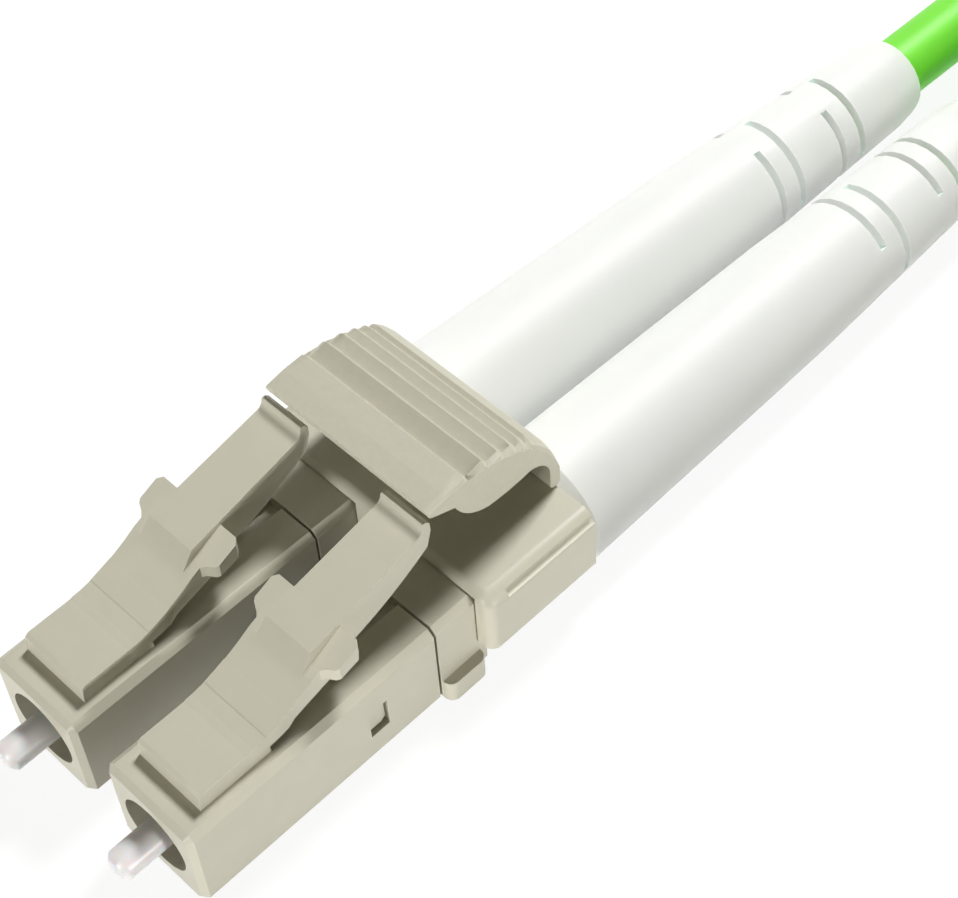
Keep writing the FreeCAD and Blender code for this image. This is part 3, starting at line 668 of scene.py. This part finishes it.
class CONNECTOR_OT_stage(bpy.types.Operator):
    """Floor, lamps, even light and camera"""
    bl_idname = "connector.stage"
    bl_label = "Stage"

    def execute(self, context):
        stage = context.scene.connector_stage
        self.floor()
        self.world(stage.fill, stage.top)
        self.lamps(stage)
        self.camera(stage.lens)
        context.scene.view_settings.view_transform = "Standard"
        return {"FINISHED"}

    def floor(self):
        """A pale floor that looks white and keeps a soft shadow."""
        bm = bmesh.new()
        bmesh.ops.create_grid(bm, x_segments=1, y_segments=1, size=FLOOR_HALF)
        mesh = mesh_from(bm, "Floor")
        floor = bpy.data.objects.new("Floor", mesh)
        bpy.context.scene.collection.objects.link(floor)
        floor.location.z = -FLOOR_DROP
        material = finish("Floor white", (0.9, 0.9, 0.9), roughness=0.9)
        nodes, links = material.node_tree.nodes, material.node_tree.links
        glow = nodes.new("ShaderNodeEmission")
        glow.inputs["Strength"].default_value = FLOOR_GLOW
        share = nodes.new("ShaderNodeMath")
        share.operation = "MULTIPLY"
        share.inputs[1].default_value = GLOW_SHARE
        mix = nodes.new("ShaderNodeMixShader")
        links.new(self.seen(nodes, links), share.inputs[0])
        links.new(share.outputs["Value"], mix.inputs["Fac"])
        links.new(nodes["Principled BSDF"].outputs["BSDF"], mix.inputs[1])
        links.new(glow.outputs["Emission"], mix.inputs[2])
        links.new(mix.outputs["Shader"], nodes["Material Output"].inputs["Surface"])
        mesh.materials.append(material)
        floor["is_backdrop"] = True

    def seen(self, nodes, links):
        """One where the camera, a reflection or a clear piece looks, and nothing elsewhere."""
        path = nodes.new("ShaderNodeLightPath")
        total = path.outputs["Is Camera Ray"]
        for kind in ("Is Glossy Ray", "Is Transmission Ray"):
            add = nodes.new("ShaderNodeMath")
            add.operation = "ADD"
            add.use_clamp = True
            links.new(total, add.inputs[0])
            links.new(path.outputs[kind], add.inputs[1])
            total = add.outputs["Value"]
        return total

    def world(self, fill, top):
        """White to the eye; as light, warm, and stronger round the horizon than above."""
        world = bpy.data.worlds.new("Even light")
        world.use_nodes = True
        bpy.context.scene.world = world
        nodes, links = world.node_tree.nodes, world.node_tree.links
        seen = self.seen(nodes, links)
        place = nodes.new("ShaderNodeTexCoord")
        split = nodes.new("ShaderNodeSeparateXYZ")
        height = nodes.new("ShaderNodeMapRange")
        height.interpolation_type = "SMOOTHSTEP"
        height.inputs["From Min"].default_value = FILL_END
        height.inputs["From Max"].default_value = TOP_START
        height.inputs["To Min"].default_value = fill
        height.inputs["To Max"].default_value = top
        power = nodes.new("ShaderNodeMix")
        power.inputs["B"].default_value = 1.0
        tint = nodes.new("ShaderNodeMix")
        tint.data_type = "RGBA"
        tint.inputs["A"].default_value = WARM
        tint.inputs["B"].default_value = WHITE
        links.new(place.outputs["Generated"], split.inputs["Vector"])
        links.new(split.outputs["Z"], height.inputs["Value"])
        links.new(height.outputs["Result"], power.inputs["A"])
        links.new(seen, power.inputs["Factor"])
        links.new(seen, tint.inputs["Factor"])
        links.new(power.outputs["Result"], nodes["Background"].inputs["Strength"])
        links.new(tint.outputs["Result"], nodes["Background"].inputs["Color"])

    def lamps(self, stage):
        """Key and Front light everything, Side all but the boots, and two weak ones only those."""
        boots = [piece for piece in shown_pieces() if "boot" in piece.name]
        self.lamp("Key", place=(-0.05, 0.22, 0.36), size=0.1, power=stage.key)
        self.lamp("Front", place=(0.03, -0.42, 0.03), size=0.06, power=stage.front)
        side = self.lamp("Side", place=(0.42, 0.0, 0.022), size=0.05, power=stage.side)
        for entry in self.receivers(side, boots).collection_objects:
            entry.light_linking.link_state = "EXCLUDE"
        for name, place in (("Boot fill right", (0.3, -0.3, 0.25)),
                            ("Boot fill left", (-0.4, -0.1, 0.2))):
            lamp = self.lamp(name, place, size=0.3, power=stage.boot)
            self.receivers(lamp, boots)
            lamp.data.use_shadow = False

    def lamp(self, name, place, size, power):
        """A round lamp, placed in metres and aimed at the frame's origin."""
        light = bpy.data.lights.new(name, "AREA")
        light.shape = "DISK"
        light.size = size
        light.energy = power
        lamp = bpy.data.objects.new(name, light)
        bpy.context.scene.collection.objects.link(lamp)
        lamp.location = place
        lamp.rotation_euler = (-Vector(place)).to_track_quat("-Z", "Y").to_euler()
        return lamp

    def receivers(self, lamp, pieces):
        """The lamp's own list of pieces: all that it lights, unless each is then excluded."""
        listed = bpy.data.collections.new(lamp.name)
        for piece in pieces:
            listed.objects.link(piece)
        lamp.light_linking.receiver_collection = listed
        return listed

    def camera(self, lens):
        """In front, above and on plug B's side, looking down and back along the connector."""
        data = bpy.data.cameras.new("Camera")
        data.lens = lens
        data.sensor_width = 36.0
        data.clip_start = 0.001
        data.clip_end = 20.0
        camera = bpy.data.objects.new("Camera", data)
        bpy.context.scene.collection.objects.link(camera)
        turn = Euler([math.radians(angle) for angle in CAMERA_TURN]).to_matrix().to_4x4()
        camera.matrix_world = Matrix.Translation(row(*CAMERA_AT)) @ turn
        bpy.context.scene.camera = camera


# ---- panel and registration ----------------------------------------------------------------------
class CONNECTOR_PT_panel(bpy.types.Panel):
    """Sizes, finishes and building steps of the connector"""
    bl_label = "Fibre Connector"
    bl_idname = "CONNECTOR_PT_panel"
    bl_space_type = "VIEW_3D"
    bl_region_type = "UI"
    bl_category = "Connector"

    def draw(self, context):
        layout = self.layout
        for name, _ in GROUPS:
            group = getattr(context.scene, name)
            for key in group.bl_rna.properties.keys():
                if key not in ("rna_type", "name"):
                    layout.prop(group, key)
        for step in STEPS:
            layout.operator(step.bl_idname)


STEPS = (CONNECTOR_OT_plugs, CONNECTOR_OT_latches, CONNECTOR_OT_clip, CONNECTOR_OT_ferrules,
         CONNECTOR_OT_boots, CONNECTOR_OT_cords, CONNECTOR_OT_stage)
GROUPS = (("connector_finish", ConnectorFinish), ("connector_sizes", ConnectorSizes),
          ("connector_stage", ConnectorStage))


def register():
    for name, group in GROUPS:
        bpy.utils.register_class(group)
        setattr(bpy.types.Scene, name, PointerProperty(type=group))
    for step in STEPS:
        bpy.utils.register_class(step)
    bpy.utils.register_class(CONNECTOR_PT_panel)


def unregister():
    bpy.utils.unregister_class(CONNECTOR_PT_panel)
    for step in reversed(STEPS):
        bpy.utils.unregister_class(step)
    for name, group in reversed(GROUPS):
        delattr(bpy.types.Scene, name)
        bpy.utils.unregister_class(group)


def main():
    register()
    for step in STEPS:
        group, name = step.bl_idname.split(".")
        getattr(getattr(bpy.ops, group), name)()


if __name__ == "__main__":
    main()
